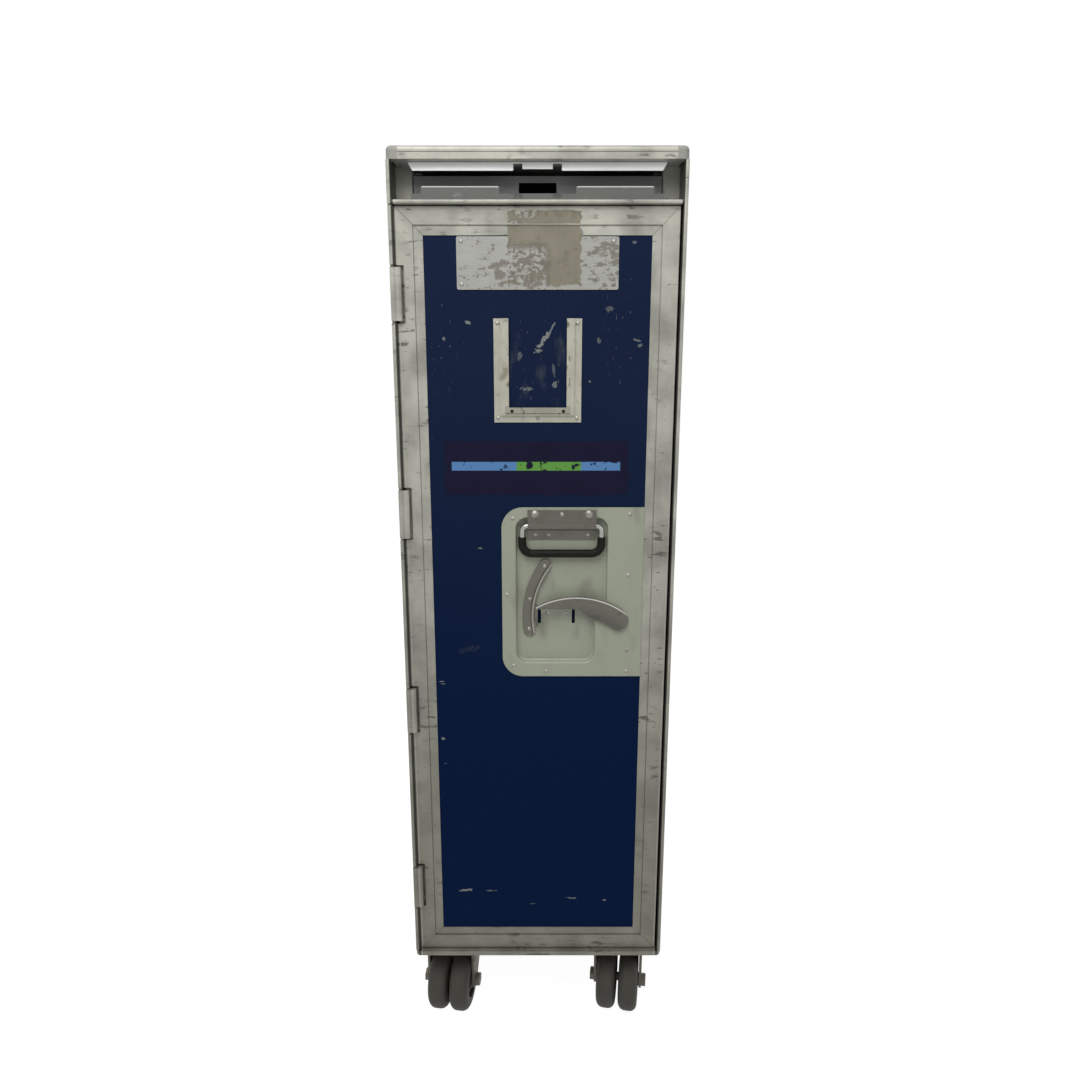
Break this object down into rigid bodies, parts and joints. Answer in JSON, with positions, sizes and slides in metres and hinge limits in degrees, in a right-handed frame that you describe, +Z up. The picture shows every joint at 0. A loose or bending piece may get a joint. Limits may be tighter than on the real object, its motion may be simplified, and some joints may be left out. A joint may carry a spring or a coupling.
{
  "type": "airline galley cart",
  "caption": "Airline galley cart with a hinged front door, lever latch, drop handle, pull-out work shelf, ice drawer and swivel casters.",
  "frame": {"origin": "on the floor under the middle of the cart", "axes": "-Y out through the door, +Z up, +X to the right when facing the door"},
  "size_m": [0.302, 0.405, 1.03],
  "materials": {
    "frame_aluminium": "satin, scuffed",
    "side_laminate": "satin laminate",
    "top_laminate": "satin laminate",
    "inner_lining": "matte",
    "door_blue": "satin laminate, scratched",
    "placard_metal": "worn, bare",
    "latch_paint": "worn paint",
    "stainless": "brushed",
    "bright_rod": "polished",
    "zinc": "dull zinc",
    "shelf_metal": "satin",
    "black_grip": "matte",
    "seal_rubber": "matte",
    "cap_plastic": "matte",
    "drawer_plastic": "matte",
    "wheel_rubber": "matte"
  },
  "bodies": {
    "cabinet": {"base_tray": "frame_aluminium", "floor_panel": "inner_lining", "bay_floor_panel": "inner_lining", "side_wall_left": "side_laminate", "side_wall_right": "side_laminate", "rear_wall": "side_laminate", "post_hinge_side": "frame_aluminium", "post_latch_side": "frame_aluminium", "rear_posts": "frame_aluminium", "cross_rail": "frame_aluminium", "jamb_rails": "frame_aluminium", "top_panel": "top_laminate", "top_rails": "frame_aluminium", "top_corner_caps": "cap_plastic", "runners": "inner_lining", "shelf_guides": "inner_lining", "hinge_blocks": "frame_aluminium", "hinge_rod": "stainless", "latch_keeper": "stainless", "caster_plates": "zinc", "caster_bolts": "zinc"},
    "door": {"door_stile_hinge": "frame_aluminium", "door_stile_latch": "frame_aluminium", "door_rail_top": "frame_aluminium", "door_rail_bottom": "frame_aluminium", "door_panel": "door_blue", "door_liner": "inner_lining", "door_seal": "seal_rubber", "placard_plate": "placard_metal", "card_holder": "stainless", "latch_plate": "latch_paint", "lever_guide": "stainless", "handle_bracket": "stainless", "door_fasteners": "stainless", "shaft_bush": "stainless"},
    "handle": {"bail_rod": "bright_rod", "bail_grip": "black_grip"},
    "latch": {"latch_lever": "stainless", "lever_shaft": "stainless", "latch_tongue": "stainless", "tongue_nut": "stainless"},
    "shelf": {"work_shelf": "shelf_metal"},
    "drawer": {"ice_drawer": "drawer_plastic", "ice_drawer_front": "drawer_plastic"},
    "fork_front_left": {"caster_fork_front_left": "zinc", "caster_axle_front_left": "zinc"},
    "wheel_front_left_a": {"wheel_front_left_a": "wheel_rubber"},
    "wheel_front_left_b": {"wheel_front_left_b": "wheel_rubber"},
    "fork_front_right": {"caster_fork_front_right": "zinc", "caster_axle_front_right": "zinc"},
    "wheel_front_right_a": {"wheel_front_right_a": "wheel_rubber"},
    "wheel_front_right_b": {"wheel_front_right_b": "wheel_rubber"},
    "fork_rear_left": {"caster_fork_rear_left": "zinc", "caster_axle_rear_left": "zinc"},
    "wheel_rear_left_a": {"wheel_rear_left_a": "wheel_rubber"},
    "wheel_rear_left_b": {"wheel_rear_left_b": "wheel_rubber"},
    "fork_rear_right": {"caster_fork_rear_right": "zinc", "caster_axle_rear_right": "zinc"},
    "wheel_rear_right_a": {"wheel_rear_right_a": "wheel_rubber"},
    "wheel_rear_right_b": {"wheel_rear_right_b": "wheel_rubber"}
  },
  "joints": [
    {"name": "door_hinge", "type": "hinge", "parent": "cabinet", "child": "door", "pos_m": [-0.1484, -0.1999, 0.543], "axis": [0, 0, -1], "range_deg": [0, 250]},
    {"name": "handle_swing", "type": "hinge", "parent": "door", "child": "handle", "pos_m": [0.0265, -0.1933, 0.6447], "axis": [-1, 0, 0], "range_deg": [0, 90]},
    {"name": "latch_turn", "type": "hinge", "parent": "door", "child": "latch", "pos_m": [0.09, -0.18, 0.5396], "axis": [0, 1, 0], "range_deg": [0, 28]},
    {"name": "shelf_slide", "type": "slide", "parent": "cabinet", "child": "shelf", "axis": [0, -1, 0], "range_m": [0, 0.25]},
    {"name": "drawer_slide", "type": "slide", "parent": "cabinet", "child": "drawer", "axis": [0, -1, 0], "range_m": [0, 0.3]},
    {"name": "swivel_front_left", "type": "hinge", "parent": "cabinet", "child": "fork_front_left", "pos_m": [-0.108, -0.1385, 0.09], "axis": [0, 0, 1], "continuous": true},
    {"name": "spin_front_left_a", "type": "hinge", "parent": "fork_front_left", "child": "wheel_front_left_a", "pos_m": [-0.11106, -0.16029, 0.0375], "axis": [0.9903, -0.1392, 0], "continuous": true},
    {"name": "spin_front_left_b", "type": "hinge", "parent": "fork_front_left", "child": "wheel_front_left_b", "pos_m": [-0.11106, -0.16029, 0.0375], "axis": [0.9903, -0.1392, 0], "continuous": true},
    {"name": "swivel_front_right", "type": "hinge", "parent": "cabinet", "child": "fork_front_right", "pos_m": [0.108, -0.1385, 0.09], "axis": [0, 0, 1], "continuous": true},
    {"name": "spin_front_right_a", "type": "hinge", "parent": "fork_front_right", "child": "wheel_front_right_a", "pos_m": [0.10418, -0.16017, 0.0375], "axis": [0.9848, -0.1736, 0], "continuous": true},
    {"name": "spin_front_right_b", "type": "hinge", "parent": "fork_front_right", "child": "wheel_front_right_b", "pos_m": [0.10418, -0.16017, 0.0375], "axis": [0.9848, -0.1736, 0], "continuous": true},
    {"name": "swivel_rear_left", "type": "hinge", "parent": "cabinet", "child": "fork_rear_left", "pos_m": [-0.108, 0.1385, 0.09], "axis": [0, 0, 1], "continuous": true},
    {"name": "spin_rear_left_a", "type": "hinge", "parent": "fork_rear_left", "child": "wheel_rear_left_a", "pos_m": [-0.10992, 0.11658, 0.0375], "axis": [0.9962, -0.0872, 0], "continuous": true},
    {"name": "spin_rear_left_b", "type": "hinge", "parent": "fork_rear_left", "child": "wheel_rear_left_b", "pos_m": [-0.10992, 0.11658, 0.0375], "axis": [0.9962, -0.0872, 0], "continuous": true},
    {"name": "swivel_rear_right", "type": "hinge", "parent": "cabinet", "child": "fork_rear_right", "pos_m": [0.108, 0.1385, 0.09], "axis": [0, 0, 1], "continuous": true},
    {"name": "spin_rear_right_a", "type": "hinge", "parent": "fork_rear_right", "child": "wheel_rear_right_a", "pos_m": [0.10268, 0.11715, 0.0375], "axis": [0.9703, -0.2419, 0], "continuous": true},
    {"name": "spin_rear_right_b", "type": "hinge", "parent": "fork_rear_right", "child": "wheel_rear_right_b", "pos_m": [0.10268, 0.11715, 0.0375], "axis": [0.9703, -0.2419, 0], "continuous": true}
  ]
}
